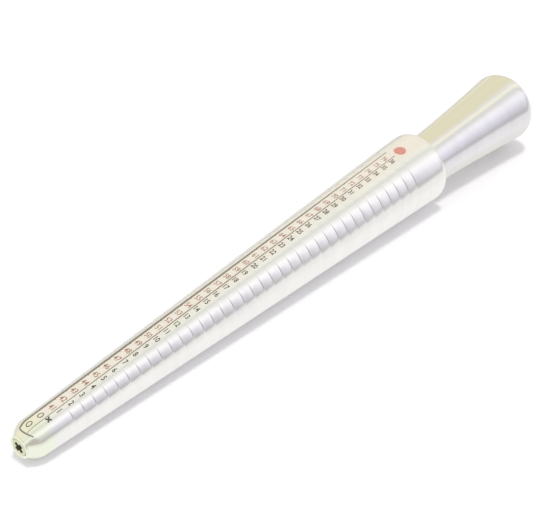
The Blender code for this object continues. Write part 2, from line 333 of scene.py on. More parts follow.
def compute(tree, operation, *values, clamp=False):
    """The output of a math node over numbers and outputs."""
    node = add_node(tree, "ShaderNodeMath", operation=operation, use_clamp=clamp)
    for socket, value in zip(node.inputs, values):
        feed(tree, socket, value)
    return node.outputs[0]


def smooth_range(tree, value, low, high, to_low=0.0, to_high=1.0):
    """A value mapped smoothly from one range to another, and held past its ends."""
    node = add_node(tree, "ShaderNodeMapRange", interpolation_type="SMOOTHSTEP")
    for name, given in (
        ("Value", value),
        ("From Min", low),
        ("From Max", high),
        ("To Min", to_low),
        ("To Max", to_high),
    ):
        feed(tree, node.inputs[name], given)
    return node.outputs["Result"]


def mix_colours(tree, factor, first, second):
    """Two colours mixed by a factor."""
    node = add_node(tree, "ShaderNodeMix", data_type="RGBA")
    feed(tree, node.inputs["Factor"], factor)
    feed(tree, node.inputs[MIX_FIRST], first)
    feed(tree, node.inputs[MIX_SECOND], second)
    return node.outputs[MIX_RESULT]


def axis_place(tree, scale=(1, 1, 1)):
    """A point's place in the mandrel's own frame, with a scale for each axis."""
    place = add_node(tree, "ShaderNodeTexCoord")
    mapping = add_node(tree, "ShaderNodeMapping", vector_type="TEXTURE")
    tree.links.new(place.outputs["Object"], mapping.inputs["Vector"])
    mapping.inputs["Location"].default_value = AXIS_FRAME.translation
    mapping.inputs["Rotation"].default_value = AXIS_FRAME.to_euler()
    mapping.inputs["Scale"].default_value = [1 / part for part in scale]
    return mapping.outputs["Vector"]


def noise(tree, scale, detail=2.0, roughness=0.5):
    """Noise in the mandrel's own frame, with a scale for each axis."""
    node = add_node(tree, "ShaderNodeTexNoise")
    tree.links.new(axis_place(tree, scale), node.inputs["Vector"])
    node.inputs["Scale"].default_value = 1.0
    node.inputs["Detail"].default_value = detail
    node.inputs["Roughness"].default_value = roughness
    return node.outputs["Fac"]


def new_material(name):
    """A material with its tree and its Principled shader."""
    material = bpy.data.materials.new(name)
    material.use_nodes = True
    tree = material.node_tree
    return material, tree, tree.nodes["Principled BSDF"]


def bump(tree, shader, height, distance):
    """Bumps the shader's surface by a height."""
    node = add_node(tree, "ShaderNodeBump")
    node.inputs["Strength"].default_value = 1.0
    node.inputs["Distance"].default_value = distance
    feed(tree, node.inputs["Height"], height)
    tree.links.new(node.outputs["Normal"], shader.inputs["Normal"])


def line_painted_shade(tree):
    """How much painted shade lies at a point in the turned lines: only beside the print,
    on the camera's side."""
    parts = add_node(tree, "ShaderNodeSeparateXYZ")
    tree.links.new(axis_place(tree), parts.inputs[0])
    up, across, place = parts.outputs
    steps = compute(tree, "MULTIPLY_ADD", place, 1 / LINE_PITCH, -LEAD_LENGTH / LINE_PITCH)
    steps = compute(tree, "MAXIMUM", compute(tree, "MINIMUM", steps, LINE_COUNT - 1), 0)
    line = compute(tree, "ROUND", steps)
    middle = compute(tree, "MULTIPLY_ADD", line, LINE_PITCH, LEAD_LENGTH)
    distance = compute(tree, "ABSOLUTE", compute(tree, "SUBTRACT", place, middle))
    near = smooth_range(tree, distance, LINE_SHADE_FAR, LINE_SHADE_NEAR)
    angle = compute(tree, "ARCTAN2", across, up)
    side = smooth_range(tree, angle, LINE_SHADE_START, LINE_SHADE_FULL)
    side = compute(tree, "MULTIPLY", side, smooth_range(tree, angle, LINE_SHADE_END, LINE_SHADE_WANE))
    return compute(tree, "MULTIPLY", near, side)


def nose_painted_tint(tree):
    """How much of the painted green reflection tint on the nose lies at a point."""
    parts = add_node(tree, "ShaderNodeSeparateXYZ")
    tree.links.new(axis_place(tree), parts.inputs[0])
    return smooth_range(tree, parts.outputs["Z"], NOSE_TINT_END, NOSE_TINT_FULL)


def handle_painted_light(tree, tone, top, ridge, under, far):
    """The handle's tone with painted light by side: a warmer painted reflection on top, a lighter
    painted highlight along a line beside that and a lighter painted reflection on the far side, and
    warmer painted shade again below."""
    parts = add_node(tree, "ShaderNodeSeparateXYZ")
    tree.links.new(axis_place(tree), parts.inputs[0])
    up, across, place = parts.outputs
    angle = compute(tree, "ARCTAN2", across, up)
    tone = mix_colours(tree, smooth_range(tree, angle, TOP_END, TOP_START), tone, top)
    line = smooth_range(tree, angle, RIDGE_START, RIDGE_PLACE)
    line = compute(tree, "MULTIPLY", line, smooth_range(tree, angle, RIDGE_END, RIDGE_PLACE))
    tone = mix_colours(tree, line, tone, ridge)
    tone = mix_colours(tree, smooth_range(tree, angle, UNDER_START, UNDER_FULL), tone, under)
    return mix_colours(tree, smooth_range(tree, angle, FAR_START, FAR_FULL), tone, far)


def make_metal(name, colour, shade, roughness, ring_depth, streak_depth, painted_tints=None, painted_light=None):
    """Turned metal: rings across the axis, streaks along it and faint cloudy handling marks.
    The painted tints are the nose's painted reflection tint and the painted shade in the scale's
    lines, and the painted light is the handle's painted reflections and shade by side."""
    material, tree, shader = new_material(name)
    rings = noise(tree, RING_SCALE, detail=3.0, roughness=0.6)
    bands = noise(tree, BAND_SCALE, detail=1.0)
    streaks = noise(tree, STREAK_SCALE, detail=2.0, roughness=0.6)
    clouds = noise(tree, CLOUD_SCALE, detail=4.0, roughness=0.6)
    tint = compute(tree, "MULTIPLY_ADD", bands, 0.5, compute(tree, "MULTIPLY", clouds, 0.5))
    tint = smooth_range(tree, tint, TINT_LOW, TINT_HIGH)
    tone = mix_colours(tree, tint, colour, shade)
    # Painted reflections and shade on the handle, by side
    if painted_light:
        tone = handle_painted_light(tree, tone, *painted_light)
    if painted_tints:
        nose, lines = painted_tints
        # Painted green reflection tint on the nose
        tone = mix_colours(tree, nose_painted_tint(tree), tone, nose)
        # Painted shade in the turned lines on the camera's side
        tone = mix_colours(tree, line_painted_shade(tree), tone, lines)
    feed(tree, shader.inputs["Base Color"], tone)
    shader.inputs["Metallic"].default_value = 1.0
    spread = compute(
        tree, "MULTIPLY_ADD", clouds, CLOUD_ROUGHNESS, roughness - CLOUD_ROUGHNESS / 2
    )
    spread = compute(tree, "SUBTRACT", spread, STREAK_ROUGHNESS / 2)
    spread = compute(tree, "MULTIPLY_ADD", streaks, STREAK_ROUGHNESS, spread)
    feed(tree, shader.inputs["Roughness"], spread)
    height = compute(tree, "MULTIPLY", rings, ring_depth)
    height = compute(tree, "MULTIPLY_ADD", streaks, streak_depth, height)
    bump(tree, shader, height, 1.0)
    return material


def make_ink(name, colour, worn_colour):
    """Printed ink: flat, a little thin in places and more worn towards the handle."""
    material, tree, shader = new_material(name)
    parts = add_node(tree, "ShaderNodeSeparateXYZ")
    tree.links.new(axis_place(tree), parts.inputs[0])
    worn = smooth_range(tree, parts.outputs["Z"], WEAR_START, WEAR_END)
    thin = noise(tree, INK_WEAR_SCALE, detail=3.0, roughness=0.7)
    thin = compute(tree, "MULTIPLY_ADD", worn, WEAR_SHARE, thin)
    thin = smooth_range(tree, thin, INK_WEAR_LOW, INK_WEAR_HIGH)
    feed(tree, shader.inputs["Base Color"], mix_colours(tree, thin, colour, worn_colour))
    grain = noise(tree, INK_GRAIN_SCALE, detail=1.0)
    spread = compute(tree, "MULTIPLY_ADD", grain, INK_GRAIN_ROUGHNESS, INK_ROUGHNESS)
    feed(tree, shader.inputs["Roughness"], spread)
    bump(tree, shader, grain, INK_GRAIN_DEPTH)
    return material


def make_recess_finish():
    """The screw's recess: bright plate at its mouth, and dark olive painted shade, mottled,
    deepening into it.
    """
    material, tree, shader = new_material("recess_painted_shade")
    dust = noise(tree, DUST_SCALE, detail=4.0, roughness=0.7)
    dust = smooth_range(tree, dust, DUST_LOW, DUST_HIGH)
    parts = add_node(tree, "ShaderNodeSeparateXYZ")
    tree.links.new(axis_place(tree), parts.inputs[0])
    deep = smooth_range(tree, parts.outputs["Z"], RECESS_SHADE_START_DEPTH, RECESS_SHADE_FULL_DEPTH)
    dark_shade = mix_colours(tree, dust, RECESS_SHADE_COLOUR, RECESS_DUSTY_SHADE_COLOUR)
    feed(tree, shader.inputs["Base Color"], mix_colours(tree, deep, RECESS_MOUTH_COLOUR, dark_shade))
    feed(tree, shader.inputs["Metallic"], compute(tree, "SUBTRACT", 1.0, deep))
    spread = compute(tree, "MULTIPLY_ADD", deep, RECESS_SHADE_ROUGHNESS, RECESS_ROUGHNESS)
    feed(tree, shader.inputs["Roughness"], spread)
    bump(tree, shader, dust, DUST_DEPTH)
    return material


SATIN = make_metal(
    "satin_aluminium",
    (0.93, 0.93, 0.92, 1),
    (0.90, 0.90, 0.90, 1),
    roughness=0.20,
    ring_depth=0.0000016,
    streak_depth=0.0000006,
    # Painted green reflection tint on the nose, then painted shade in the turned lines
    painted_tints=((0.885, 0.925, 0.80, 1), (0.78, 0.77, 0.81, 1)),
)
TURNED = make_metal(
    "turned_aluminium",
    (0.845, 0.84, 0.875, 1),
    (0.805, 0.80, 0.83, 1),
    roughness=0.21,
    ring_depth=0.0000012,
    streak_depth=0.0000010,
    # Painted light on the handle by side: warm reflection on top, highlight beside it, shade below,
    # light reflection on the far side
    painted_light=(
        (0.785, 0.795, 0.66, 1),
        (0.97, 0.955, 0.90, 1),
        (0.72, 0.705, 0.675, 1),
        (0.96, 0.96, 0.85, 1),
    ),
)
ZINC = make_metal(
    "zinc_plated_steel",
    (0.745, 0.765, 0.57, 1),
    (0.655, 0.68, 0.49, 1),
    roughness=0.28,
    ring_depth=0.0000010,
    streak_depth=0.0000004,
)
DARK_INK = make_ink("dark_print", (0.095, 0.084, 0.058, 1), (0.22, 0.20, 0.15, 1))
LINE_INK = make_ink("line_print", (0.23, 0.205, 0.165, 1), (0.33, 0.30, 0.24, 1))
RED_INK = make_ink("red_print", (0.37, 0.17, 0.12, 1), (0.50, 0.31, 0.24, 1))
DOT_INK = make_ink("red_dot_print", (0.66, 0.235, 0.18, 1), (0.70, 0.33, 0.27, 1))
# The recess's finish, with painted shade deepening into the recess
RECESS_SHADE = make_recess_finish()


def add_piece(name, mesh, material, slot, *nodes):
    """A finished mesh in the mandrel's own frame becomes a piece of the object."""
    mesh.transform(AXIS_FRAME)
    piece = bpy.data.objects.new(name, mesh)
    bpy.context.scene.collection.objects.link(piece)
    if material.name not in mesh.materials:
        mesh.materials.append(material)
    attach(piece, "root")
    if nodes:
        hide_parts(*nodes)


def evaluated_mesh(piece, name):
    """The mesh that the piece's modifiers make. The piece itself is removed."""
    graph = bpy.context.evaluated_depsgraph_get()
    mesh = bpy.data.meshes.new_from_object(piece.evaluated_get(graph))
    mesh.name = name
    bpy.data.objects.remove(piece)
    return mesh


def helper_object(name, mesh):
    """An object that is only there while a mesh is made."""
    helper = bpy.data.objects.new(name, mesh)
    bpy.context.scene.collection.objects.link(helper)
    return helper


def smooth(mesh):
    """Smooth but for the real edges."""
    mesh.shade_smooth()
    mesh.set_sharp_from_angle(angle=CREASE_ANGLE)


def turned_mesh(name, outline, segments, closed=True):
    """A turned shape about Z. The outline is (radius, height) points that run down the outer
    side. A closed outline joins its last point to its first, as round a bore."""
    count = len(outline)
    edges = [(index, index + 1) for index in range(count - 1)]
    if closed:
        edges.append((count - 1, 0))
    mesh = bpy.data.meshes.new(name)
    mesh.from_pydata([(radius, 0, height) for radius, height in outline], edges, [])
    blank = helper_object(name + "_blank", mesh)
    screw = blank.modifiers.new("Turn", "SCREW")
    screw.axis = "Z"
    screw.angle = 2 * math.pi
    screw.steps = segments
    screw.render_steps = segments
    screw.use_merge_vertices = True
    screw.merge_threshold = WELD_DISTANCE
    mesh = evaluated_mesh(blank, name)
    smooth(mesh)
    return mesh


def moved(outline, place):
    """The outline, further along the axis."""
    return [(radius, height + place) for radius, height in outline]


def shrunk(outline, share):
    """The outline with its radii made smaller by a share."""
    return [(radius * share, height) for radius, height in outline]


def round_corner(radius, height, size, from_angle, to_angle, steps=EDGE_STEPS, length=None):
    """Points round the corner of a turned outline, about a centre at a radius and height. A
    corner with a length reaches that far along the axis."""
    length = length or size
    points = []
    for step in range(steps + 1):
        angle = from_angle + (to_angle - from_angle) * step / steps
        points.append((radius + size * math.cos(angle), height + length * math.sin(angle)))
    return points


def nose_outline():
    """The rounded nose, from its shoulder down to the low eased rim round the screw."""
    points = []
    for step in range(NOSE_STEPS + 1):
        place = NOSE_LENGTH + (NOSE_RIM_LENGTH - NOSE_LENGTH) * step / NOSE_STEPS
        points.append((body_radius(place), place))
    rim = BODY_INSET * NOSE_RIM_RADIUS - NOSE_RIM_EDGE
    back = NOSE_RIM_LENGTH - NOSE_RIM_EDGE
    points += round_corner(rim, back, NOSE_RIM_EDGE, math.pi / 2, 0)
    return points + round_corner(rim, NOSE_RIM_EDGE, NOSE_RIM_EDGE, 0, -math.pi / 2)


def groove_outline():
    """The grooves of the scale with eased shoulders, from the largest size to the smallest."""
    points = []
    for line in reversed(range(LINE_COUNT)):
        centre = LEAD_LENGTH + line * LINE_PITCH
        for across, deep in reversed(GROOVE_SHARES):
            place = centre + across * LINE_WIDTH / 2
            points.append((taper_radius(place) - deep * LINE_DEPTH, place))
    return points


def hollow_radius(place):
    """Inner radius of the gauge body's hollow."""
    return taper_radius(place) - BODY_WALL


def socket_radius():
    """Inner radius of the end plug's seat."""
    return hollow_radius(BODY_LENGTH - SOCKET_DEPTH) + SOCKET_STEP


def make_gauge_body():
    """The tapered shell with its turned lines, countersunk nose and seat for the end plug."""
    edge_place = BODY_LENGTH - REAR_EDGE_LENGTH
    edge_radius = taper_radius(edge_place) - REAR_EDGE_DROP
    head_height = SCREW_HEAD_RADIUS - SCREW_RADIUS
    socket_floor = BODY_LENGTH - SOCKET_DEPTH
    outline = round_corner(
        edge_radius, edge_place, REAR_EDGE_DROP, math.pi / 2, 0, length=REAR_EDGE_LENGTH
    )
    outline += groove_outline()
    outline += nose_outline()
    outline += [
        (SCREW_HEAD_RADIUS + FIT_GAP, 0),
        (SCREW_RADIUS + FIT_GAP, head_height),
        (SCREW_RADIUS + FIT_GAP, NOSE_WALL),
        (hollow_radius(NOSE_WALL), NOSE_WALL),
        (hollow_radius(socket_floor), socket_floor),
        (socket_radius(), socket_floor),
        (socket_radius(), BODY_LENGTH),
    ]
    mesh = turned_mesh("fine_gauge_body", outline, FINE_SEGMENTS)
    add_piece("fine_gauge_body", mesh, SATIN, "satin_aluminium", "gauge_body")


def recess_arm(name, length, width):
    """One tapered arm of the cross recess, as a cutter with the recess's finish and painted shade.
    """
    shape = bmesh.new()
    bmesh.ops.create_cube(shape, size=1)
    for corner in shape.verts:
        deep = corner.co.z > 0
        narrowing = RECESS_FLOOR_SHARE if deep else 1
        corner.co.x *= length * narrowing
        corner.co.y *= width * narrowing
        corner.co.z = RECESS_DEPTH if deep else -CUT_OVERRUN
    bmesh.ops.recalc_face_normals(shape, faces=shape.faces)
    mesh = bpy.data.meshes.new(name)
    shape.to_mesh(mesh)
    shape.free()
    mesh.transform(Matrix.Rotation(RECESS_ANGLE, 4, "Z"))
    mesh.materials.append(RECESS_SHADE)
    return helper_object(name, mesh)


def make_tip_screw():
    """The countersunk screw with its eased head and cross recess."""
    head = SCREW_HEAD_RADIUS * SCREW_INSET
    cone_height = head - SCREW_RADIUS
    outline = [(0, SCREW_LENGTH), (SCREW_RADIUS, SCREW_LENGTH), (SCREW_RADIUS, cone_height)]
    outline += [(head, SCREW_EDGE)]
    outline += round_corner(head - SCREW_EDGE, SCREW_EDGE, SCREW_EDGE, 0, -math.pi / 2)[1:]
    outline += [(0, 0)]
    mesh = turned_mesh("fine_tip_screw", outline, SCREW_SEGMENTS, closed=False)
    mesh.materials.append(ZINC)
    blank = helper_object("screw_blank", mesh)
    arms = [
        recess_arm("recess_arm_a", RECESS_SPAN, RECESS_WIDTH),
        recess_arm("recess_arm_b", RECESS_WIDTH, RECESS_SPAN),
    ]
    for arm in arms:
        boolean = blank.modifiers.new("Cut", "BOOLEAN")
        boolean.operation = "DIFFERENCE"
        boolean.solver = "EXACT"
        boolean.material_mode = "TRANSFER"
        boolean.object = arm
    mesh = evaluated_mesh(blank, "fine_tip_screw")
    for arm in arms:
        bpy.data.objects.remove(arm)
    smooth(mesh)
    add_piece("fine_tip_screw", mesh, ZINC, "zinc_plated_steel", "tip_screw")


def make_end_plug():
    """The disc that closes the big end, with its spigot."""
    disc_radius = socket_radius() - FIT_GAP
    disc_front = FIT_GAP - SOCKET_DEPTH
    outline = [
        (ROD_HOLE_RADIUS, SPIGOT_LENGTH),
        (SPIGOT_RADIUS, SPIGOT_LENGTH),
        (SPIGOT_RADIUS, 0),
        (disc_radius, 0),
        (disc_radius, disc_front),
        (ROD_HOLE_RADIUS, disc_front),
    ]
    mesh = turned_mesh("fine_end_plug", moved(outline, BODY_LENGTH), FINE_SEGMENTS)
    add_piece("fine_end_plug", mesh, TURNED, "turned_aluminium", "end_plug")


def flare_radius(place):
    """Outer radius of the handle at a distance behind the gauge body's end."""
    return NECK_RADIUS + (RIM_RADIUS - NECK_RADIUS) * (place / RIM_PLACE) ** FLARE_POWER


def butt_place(radius):
    """Where the butt's rounded end lies at a radius, behind the gauge body's end."""
    past_flat = max(radius - BUTT_FLAT_RADIUS, 0)
    return RIM_PLACE + math.sqrt(BUTT_ROUNDING ** 2 - past_flat ** 2)


def butt_outline(inner, outer):
    """Points on the butt from one radius out to another: its flat face, then its round edge."""
    points = [(inner, butt_place(inner))]
    edge = round_corner(BUTT_FLAT_RADIUS, RIM_PLACE, BUTT_ROUNDING, math.pi / 2, 0, BUTT_STEPS)
    for radius, place in edge:
        if inner < radius < outer:
            points.append((radius, place))
    points.append((outer, butt_place(outer)))
    return points


def make_handle():
    """The flared handle with its bore from behind."""
    flare = []
    for step in range(1, FLARE_STEPS + 1):
        place = RIM_PLACE + (FIT_GAP + NECK_EDGE - RIM_PLACE) * step / FLARE_STEPS
        flare.append((flare_radius(place), place))
    neck = flare[-1][0] - NECK_EDGE
    flare += round_corner(neck, FIT_GAP + NECK_EDGE, NECK_EDGE, 0, -math.pi / 2)[1:]
    web_back = WEB_FRONT + WEB_THICKNESS
    cap_floor = HANDLE_LENGTH - CAP_THICKNESS - FIT_GAP
    inside = [
        (SPIGOT_RADIUS + FIT_GAP, FIT_GAP),
        (SPIGOT_RADIUS + FIT_GAP, WEB_FRONT),
        (ROD_HOLE_RADIUS, WEB_FRONT),
        (ROD_HOLE_RADIUS, web_back),
        (HANDLE_BORE_RADIUS, web_back),
        (HANDLE_BORE_RADIUS, cap_floor),
        (CAP_RADIUS + FIT_GAP, cap_floor),
    ]
    outside = butt_outline(CAP_RADIUS + FIT_GAP, RIM_RADIUS) + flare
    outline = shrunk(outside, HANDLE_INSET) + inside
    mesh = turned_mesh("fine_handle", moved(outline, BODY_LENGTH), FINE_SEGMENTS)
    add_piece("fine_handle", mesh, TURNED, "turned_aluminium", "handle")


def make_handle_cap():
    """The plug that closes the bore and carries the middle of the butt."""
    cap_front = HANDLE_LENGTH - CAP_THICKNESS
    outline = butt_outline(0, CAP_RADIUS - CAP_EDGE)
    outline += [(CAP_RADIUS, outline[-1][1] - CAP_EDGE), (CAP_RADIUS, cap_front), (0, cap_front)]
    outline = shrunk(outline, HANDLE_INSET)
    mesh = turned_mesh("fine_handle_cap", moved(outline, BODY_LENGTH), FINE_SEGMENTS, closed=False)
    add_piece("fine_handle_cap", mesh, TURNED, "turned_aluminium", "handle_cap")


def surface_dip(place):
    """How deep the surface lies below the plain taper at a place, inside a turned line."""
    line = round((place - LEAD_LENGTH) / LINE_PITCH)
    if not 0 <= line < LINE_COUNT:
        return 0
    share = abs(place - LEAD_LENGTH - line * LINE_PITCH) / (LINE_WIDTH / 2)
    points = [(across, deep) for across, deep in GROOVE_SHARES if across > 0]
    if share <= points[0][0]:
        return LINE_DEPTH * points[0][1]
    for (near, near_deep), (far, far_deep) in zip(points[:-1], points[1:]):
        if share <= far:
            part = (share - near) / (far - near)
            return LINE_DEPTH * (near_deep + (far_deep - near_deep) * part)
    return 0


def on_surface(place, arc, height):
    """A point over the gauge body: a place on the axis, an arc from the top and a height. The
    arc is measured on the plain taper, also over the nose."""
    angle = arc / taper_radius(place)
    reach = body_radius(place) - surface_dip(place) + height
    return (reach * math.cos(angle), reach * math.sin(angle), place)


def slice_finely(shape):
    """Cuts a flat shape into narrow strips both ways, so that it can follow the surface."""
    for axis, normal in ((0, (1, 0, 0)), (1, (0, 1, 0))):
        spots = [corner.co[axis] for corner in shape.verts]
        low = min(spots)
        for step in range(1, math.ceil((max(spots) - low) / INK_STEP)):
            spot = Vector(normal) * (low + step * INK_STEP)
            parts = list(shape.verts) + list(shape.edges) + list(shape.faces)
            bmesh.ops.bisect_plane(
                shape, geom=parts, dist=WELD_DISTANCE, plane_co=spot, plane_no=normal
            )


def laid_on(sheet, shape, place, arc):
    """Adds a flat shape to a sheet of print on the gauge body: its X runs round the surface
    and its Y along the axis. The shape is used up."""
    bmesh.ops.remove_doubles(shape, verts=shape.verts, dist=WELD_DISTANCE)
    bmesh.ops.triangulate(shape, faces=shape.faces)
    slice_finely(shape)
    for corner in shape.verts:
        across, along, height = corner.co
        corner.co = on_surface(place + along, arc + across, height)
    mesh = bpy.data.meshes.new("laid")
    shape.to_mesh(mesh)
    shape.free()
    sheet.from_mesh(mesh)
    bpy.data.meshes.remove(mesh)


def add_print(name, sheet, material, slot):
    """A finished sheet of print becomes a piece."""
    bmesh.ops.recalc_face_normals(sheet, faces=sheet.faces)
    mesh = bpy.data.meshes.new(name)
    sheet.to_mesh(mesh)
    sheet.free()
    add_piece(name, mesh, material, slot)


def strip_places(start, end):
    """Places from start to end, dense enough to follow the nose and the turned lines."""
    places = {start, end}
    count = math.ceil((end - start) / INK_STEP)
    for step in range(count):
        places.add(start + (end - start) * step / count)
    for line in range(LINE_COUNT):
        for across, deep in GROOVE_SHARES:
            place = LEAD_LENGTH + line * LINE_PITCH + across * LINE_WIDTH / 2
            if start < place < end:
                places.add(place)
    return sorted(places)


def add_band(sheet, rows):
    """A thin closed band of ink. Each row is its left and right end, as (place, arc)."""
    rings = []
    for left, right in rows:
        ring = []
        for (place, arc), height in (
            (left, -INK_SINK),
            (right, -INK_SINK),
            (right, INK_THICKNESS),
            (left, INK_THICKNESS),
        ):
            ring.append(sheet.verts.new(on_surface(place, arc, height)))
        rings.append(ring)
    for before, after in zip(rings[:-1], rings[1:]):
        for index in range(4):
            following = (index + 1) % 4
            sheet.faces.new((before[index], before[following], after[following], after[index]))
    sheet.faces.new(reversed(rings[0]))
    sheet.faces.new(rings[-1])


def along_table(values, place):
    """A printed value at a place, from its values at evenly spaced places along the table."""
    share = (place - LEAD_LENGTH - TABLE_START) / (TABLE_END - TABLE_START)
    step = share * (len(values) - 1)
    index = min(max(int(step), 0), len(values) - 2)
    return values[index] + (values[index + 1] - values[index]) * (step - index)


def front_line_place(angle):
    """Where the bowed line across the table's front end lies at an angle from the top."""
    share = (angle - FRONT_LINE_MIDDLE) / (FRONT_LINE_FOOT - FRONT_LINE_MIDDLE)
    return LEAD_LENGTH + TABLE_START + FRONT_LINE_BOW * share ** 2


def front_line_corner():
    """The angle and place at which the front line meets the outer line."""
    place = LEAD_LENGTH + TABLE_START
    angle = along_table(OUTER_LINE_ARCS, place) / taper_radius(place)
    return angle, front_line_place(angle)


def make_table_lines():
    """The table's outer line, middle line and front line."""
    sheet = bmesh.new()
    corner_angle, corner_place = front_line_corner()
    end = LEAD_LENGTH + TABLE_END
    for arcs, widths, start in (
        (OUTER_LINE_ARCS, OUTER_LINE_WIDTHS, corner_place),
        (MIDDLE_LINE_ARCS, MIDDLE_LINE_WIDTHS, LEAD_LENGTH + TABLE_START + FRONT_LINE_WIDTH),
    ):
        rows = []
        for place in strip_places(start, end):
            arc = along_table(arcs, place)
            reach = along_table(widths, place) / 2
            rows.append(((place, arc - reach), (place, arc + reach)))
        add_band(sheet, rows)
    rows = []
    for step in range(FRONT_LINE_STEPS + 1):
        angle = corner_angle + (FRONT_LINE_FOOT - corner_angle) * step / FRONT_LINE_STEPS
        front = front_line_place(angle) - FRONT_LINE_WIDTH / 2
        back = front + FRONT_LINE_WIDTH
        rows.append(((front, angle * taper_radius(front)), (back, angle * taper_radius(back))))
    add_band(sheet, rows)
    add_print("scale_rules", sheet, LINE_INK, "dark_print")


def number_shape(text, width_share, weight):
    """A number as a flat shape from X = 0, with its digits along X and centred in Y."""
    curve = bpy.data.curves.new("number", "FONT")
    curve.body = text
    curve.size = DIGIT_HEIGHT
    curve.offset = weight
    curve.resolution_u = DIGIT_RESOLUTION
    curve.extrude = (INK_THICKNESS + INK_SINK) / 2
    mesh = evaluated_mesh(helper_object("number", curve), "number")
    bpy.data.curves.remove(curve)
    shape = bmesh.new()
    shape.from_mesh(mesh)
    bpy.data.meshes.remove(mesh)
    heights = [corner.co.y for corner in shape.verts]
    low = min(heights)
    scale = DIGIT_HEIGHT / (max(heights) - low)
    left = min(corner.co.x for corner in shape.verts)
    for corner in shape.verts:
        corner.co.x = (corner.co.x - left) * width_share * scale
        corner.co.y = (corner.co.y - low) * scale - DIGIT_HEIGHT / 2
        corner.co.z += (INK_THICKNESS - INK_SINK) / 2
    return shape


def girth_arc(place, width):
    """Where a red number of a width starts: it is centred between the long lines."""
    outer = along_table(OUTER_LINE_ARCS, place)
    middle = along_table(MIDDLE_LINE_ARCS, place)
    return (outer + middle) / 2 + GIRTH_INSET - width / 2


def size_arc(place, width):
    """Where a dark number starts: at one distance from the middle line, whatever its width."""
    return along_table(MIDDLE_LINE_ARCS, place) + along_table(SIZE_INSETS, place)


def make_numbers(name, first, width_share, weight, set_back, start_arc, material, slot):
    """One column of numbers, each on the nose's side of its line."""
    sheet = bmesh.new()
    for line in range(LINE_COUNT):
        place = LEAD_LENGTH + (line - set_back) * LINE_PITCH
        shape = number_shape(str(first + line), width_share, weight)
        width = max(corner.co.x for corner in shape.verts)
        laid_on(sheet, shape, place, start_arc(place, width))
    add_print(name, sheet, material, slot)


def flat_solid(outline, height_low, height_high, inner=None):
    """A thin closed solid over a flat outline, with a like hole in it where inner is given."""
    shape = bmesh.new()
    rings = []
    for edge, height in (
        (outline, height_low),
        (outline, height_high),
        (inner, height_high),
        (inner, height_low),
    ):
        if edge:
            rings.append([shape.verts.new((x, y, height)) for x, y in edge])
    count = len(outline)
    pairs = list(zip(rings, rings[1:] + rings[:1])) if inner else [(rings[0], rings[1])]
    for before, after in pairs:
        for index in range(count):
            following = (index + 1) % count
            shape.faces.new((before[index], before[following], after[following], after[index]))
    if not inner:
        shape.faces.new(reversed(rings[0]))
        shape.faces.new(rings[1])
    return shape


def oval(width, length):
    """Points round an oval, centred."""
    points = []
    for step in range(DISC_SEGMENTS):
        angle = 2 * math.pi * step / DISC_SEGMENTS
        points.append((width / 2 * math.cos(angle), length / 2 * math.sin(angle)))
    return points


def slanted_cross(width, length):
    """Points round a cross with arms of a width, centred and slanted."""
    reach, half = length / 2, width / 2
    points = []
    for arm in range(4):
        for along, across in ((half, -half), (reach, -half), (reach, half)):
            point = Matrix.Rotation(math.pi / 2 * (arm + 0.5), 2) @ Vector((along, across))
            points.append((point.x, point.y))
    return points


def make_marks():
    """Plain signs over the columns: two open ovals and a bold slanted cross."""
    sheet = bmesh.new()
    for set_back in SIGN_SET_BACKS:
        place = LEAD_LENGTH - set_back * LINE_PITCH
        outer = oval(SIGN_WIDTH, SIGN_LENGTH)
        inner = oval(SIGN_WIDTH - 2 * SIGN_LINE, SIGN_LENGTH - 2 * SIGN_LINE)
        shape = flat_solid(outer, -INK_SINK, INK_THICKNESS, inner)
        laid_on(sheet, shape, place, SIGN_ANGLE * taper_radius(place))
    place = LEAD_LENGTH - BOLD_SIGN_SET_BACK * LINE_PITCH
    shape = flat_solid(slanted_cross(BOLD_SIGN_LINE, BOLD_SIGN_LENGTH), -INK_SINK, INK_THICKNESS)
    laid_on(sheet, shape, place, BOLD_SIGN_ANGLE * taper_radius(place))
    add_print("scale_marks", sheet, DARK_INK, "dark_print")


def make_dot():
    """The plain red dot at the big end."""
    sheet = bmesh.new()
    shape = flat_solid(oval(2 * DOT_RADIUS, 2 * DOT_RADIUS), -INK_SINK, INK_THICKNESS)
    laid_on(sheet, shape, LEAD_LENGTH + DOT_PLACE, DOT_ARC)
    add_print("red_dot", sheet, DOT_INK, "red_print")


def finish_hidden_nodes():
    """The pieces inside the handle and the body keep their solids and get their finish."""
    for name in ("tie_rod", "plain_washer", "spring_washer", "tie_nut"):
        node = frame["nodes"][name]
        for slot in node.material_slots:
            slot.material = ZINC


